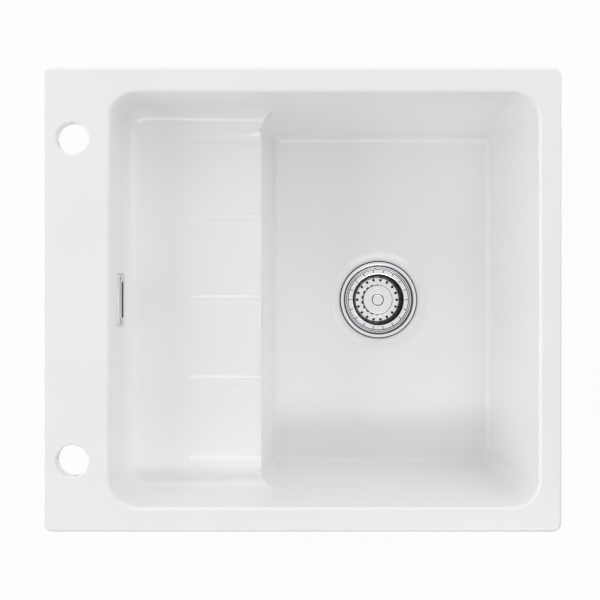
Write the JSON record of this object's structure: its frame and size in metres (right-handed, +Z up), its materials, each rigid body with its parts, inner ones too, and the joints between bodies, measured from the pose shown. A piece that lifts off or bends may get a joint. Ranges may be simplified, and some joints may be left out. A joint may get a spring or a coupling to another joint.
{
  "type": "inset kitchen sink",
  "caption": "Glazed ceramic inset sink with one bowl, a grooved drainer step, two tap holes, a basket strainer waste and a piped overflow.",
  "frame": {"origin": "centre of the rim's outline, on the plane where the rim lies on the worktop", "axes": "+X from the tap ledge to the bowl, +Y across the rim, +Z up"},
  "size_m": [0.57, 0.51, 0.298],
  "materials": {
    "ceramic": "smooth white glaze",
    "polished_steel": "polished",
    "dull_steel": "zinc plated",
    "black_rubber": "matt",
    "grey_plastic": "moulded",
    "white_plastic": "moulded"
  },
  "bodies": {
    "basin": {"sink_basin": "ceramic", "strainer_flange": "polished_steel", "flange_seal": "black_rubber", "waste_body": "white_plastic", "waste_body_seal": "black_rubber", "centre_bolt": "dull_steel", "overflow_cover": "polished_steel", "overflow_cover_screws": "dull_steel", "overflow_box": "grey_plastic", "overflow_box_seal": "black_rubber", "overflow_hose": "grey_plastic", "upper_hose_nut": "white_plastic", "upper_hose_seal": "black_rubber", "lower_hose_nut": "white_plastic", "lower_hose_seal": "black_rubber", "clamp_plugs": "grey_plastic", "clamp_screws": "dull_steel"},
    "basket": {"strainer_basket": "polished_steel", "basket_knob": "polished_steel", "basket_stem": "dull_steel", "basket_seal": "black_rubber", "basket_seal_washer": "dull_steel"},
    "bracket_1": {"clamp_bracket_1": "dull_steel"},
    "bracket_2": {"clamp_bracket_2": "dull_steel"},
    "bracket_3": {"clamp_bracket_3": "dull_steel"},
    "bracket_4": {"clamp_bracket_4": "dull_steel"}
  },
  "joints": [
    {"name": "basket_lift", "type": "slide", "parent": "basin", "child": "basket", "axis": [0, 0, 1], "range_m": [0, 0.24]},
    {"name": "bracket_1_swing", "type": "hinge", "parent": "basin", "child": "bracket_1", "pos_m": [-0.155, 0.2385, -0.0455], "axis": [0, 0, 1], "range_deg": [0, 90]},
    {"name": "bracket_2_swing", "type": "hinge", "parent": "basin", "child": "bracket_2", "pos_m": [-0.155, -0.2385, -0.0455], "axis": [0, 0, -1], "range_deg": [0, 90]},
    {"name": "bracket_3_swing", "type": "hinge", "parent": "basin", "child": "bracket_3", "pos_m": [0.195, 0.2385, -0.0455], "axis": [0, 0, -1], "range_deg": [0, 90]},
    {"name": "bracket_4_swing", "type": "hinge", "parent": "basin", "child": "bracket_4", "pos_m": [0.195, -0.2385, -0.0455], "axis": [0, 0, 1], "range_deg": [0, 90]}
  ]
}
